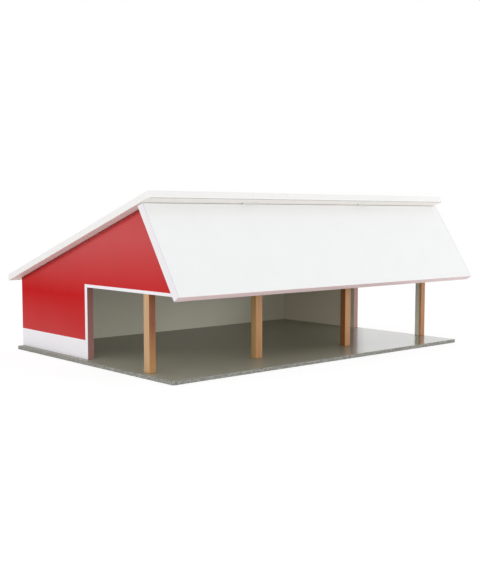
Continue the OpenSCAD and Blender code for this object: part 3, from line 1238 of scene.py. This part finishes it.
@dataclass
class Hardware:
    """Hinges, screws and dowels."""

    shop: Workshop
    enamel: Finish = Metal("white_enamel", roughness=0.35, shade=srgb(232, 230, 225), metallic=0.0)
    pin: Finish = Metal("pin_steel_finish", roughness=0.35, shade=srgb(150, 148, 144))
    screw: Finish = Metal("plated_screw", roughness=0.3, shade=srgb(196, 194, 186))
    dowel: Finish = Wood("dowel_beech", roughness=0.6, relief=0.04, grain=Grain.ALONG_X)

    def build(self) -> None:
        """Dress the small nodes."""
        for side in ("left", "right"):
            for leaf in ("fixed_leaf", "moving_leaf"):
                self.shop.dress(f"{side}_hinge_{leaf}", self.enamel)
            self.shop.dress(f"{side}_hinge_pin", self.pin)
        for node in ("hinge_rail_screws", "hinge_lid_screws", "wall_base_screws",
                     "post_base_screws"):
            self.shop.dress(node, self.screw)
        for node in ("wall_corner_dowels", "ridge_rail_dowels", "post_top_dowels"):
            self.shop.dress(node, self.dowel)


@dataclass(frozen=True)
class Lamp:
    """A soft box aimed at the shed; places and sizes in metres, power in watts."""

    name: str
    place: Point
    width: float
    height: float
    power: float
    aim: Point = (0.0, 0.0, 0.1)

    def build(self) -> None:
        """Hang the lamp."""
        data = bpy.data.lights.new(self.name, "AREA")
        data.shape = "RECTANGLE"
        data.size, data.size_y = self.width, self.height
        data.energy = self.power
        lamp = bpy.data.objects.new(self.name, data)
        lamp.location = self.place
        beam = Vector(self.aim) - Vector(self.place)
        lamp.rotation_euler = beam.to_track_quat("-Z", "Y").to_euler()
        bpy.context.scene.collection.objects.link(lamp)


@dataclass
class Studio:
    """White surroundings with soft light from all round; sizes in metres."""

    sky: float = 0.78
    floor_drop: float = 0.0003
    floor_size: float = 40.0
    floor_colour: Colour = (0.82, 0.82, 0.82, 1.0)
    floor_glow: float = 1.10
    glow_share: float = 0.80
    lamps: tuple[Lamp, ...] = (
        Lamp("key_box", (-2.6, -0.9, 0.50), 1.6, 0.8, 16.0),
        Lamp("front_box", (1.6, -1.9, 0.32), 1.6, 0.55, 13.5),
        Lamp("top_box", (0.9, -0.9, 1.9), 1.0, 0.8, 1.8),
    )

    @staticmethod
    def _seen(bench: Bench) -> Wire:
        """1 for rays from the camera, or by way of gloss or glass.

        Args:
            bench: Node tree of the world or of a material.

        Returns:
            The mask.
        """
        rays = [bench.node("ShaderNodeLightPath", output=name) for name in
                ("Is Camera Ray", "Is Glossy Ray", "Is Transmission Ray")]
        return rays[0].larger(rays[1]).larger(rays[2])

    def _world(self) -> None:
        """Make a world that is white where it is seen and a plain level where it lights."""
        world = bpy.data.worlds.new("studio_world")
        world.use_nodes = True
        bench = Bench(world.node_tree)
        strength = self._seen(bench) * (1.0 - self.sky) + self.sky
        back = bench.node("ShaderNodeBackground", {}, {"Color": FULL_WHITE, "Strength": strength})
        bench.close("ShaderNodeOutputWorld", back)
        bpy.context.scene.world = world

    def _paint(self) -> bpy.types.Material:
        """Mix the floor's paint, which looks white and keeps a faint shadow.

        Returns:
            The material.
        """
        material = bpy.data.materials.new("studio_floor_paint")
        material.use_nodes = True
        bench = Bench(material.node_tree)
        matt = bench.node("ShaderNodeBsdfDiffuse", {}, {"Color": self.floor_colour})
        glow = bench.node("ShaderNodeEmission", {}, {
            "Color": FULL_WHITE, "Strength": self.floor_glow})
        mixed = bench.node("ShaderNodeMixShader", {}, {
            0: self._seen(bench) * self.glow_share, 1: matt, 2: glow})
        bench.close("ShaderNodeOutputMaterial", mixed)
        return material

    def _floor(self) -> None:
        """Lay the plain pale floor."""
        mesh = bmesh.new()
        bmesh.ops.create_grid(mesh, x_segments=1, y_segments=1, size=self.floor_size / 2)
        bmesh.ops.translate(mesh, verts=mesh.verts, vec=(0, 0, -self.floor_drop))
        data = bpy.data.meshes.new("studio_floor")
        mesh.to_mesh(data)
        mesh.free()
        data.materials.append(self._paint())
        floor = bpy.data.objects.new("studio_floor", data)
        bpy.context.scene.collection.objects.link(floor)

    def build(self) -> None:
        """Set the world, the floor and the lamps."""
        bpy.context.scene.view_settings.view_transform = "Standard"
        self._world()
        self._floor()
        for lamp in self.lamps:
            lamp.build()


@dataclass
class Camera:
    """Camera from which the shed is shown.

    Its place and the range that it sees are in metres, and its turn and tilt in degrees.
    """

    place: Point = (-0.973405, -1.115887, 0.214740)
    turn: float = 40.964
    tilt: float = 4.946
    lens: float = 55.352
    sensor_w: float = 36.0
    nearest: float = 0.05
    farthest: float = 100.0

    def build(self) -> None:
        """Set up the camera."""
        data = bpy.data.cameras.new("shed_camera")
        data.lens = self.lens
        data.sensor_width = self.sensor_w
        data.clip_start, data.clip_end = self.nearest, self.farthest
        camera = bpy.data.objects.new("shed_camera", data)
        camera.location = self.place
        camera.rotation_euler = (math.radians(90 - self.tilt), 0.0, math.radians(-self.turn))
        bpy.context.scene.collection.objects.link(camera)
        bpy.context.scene.camera = camera


def main() -> None:
    """Build the shed's sub-assemblies, the studio and the camera."""
    logging.basicConfig(level=logging.INFO, format="%(name)s %(message)s")
    shop = Workshop()
    for part in (BaseBoard(shop), Walls(shop), FrontPanel(shop), RoofLid(shop), Timbers(shop),
                 Hardware(shop), Studio(), Camera()):
        part.build()
        LOG.info("%s ready", type(part).__name__)


if __name__ == "__main__":
    main()
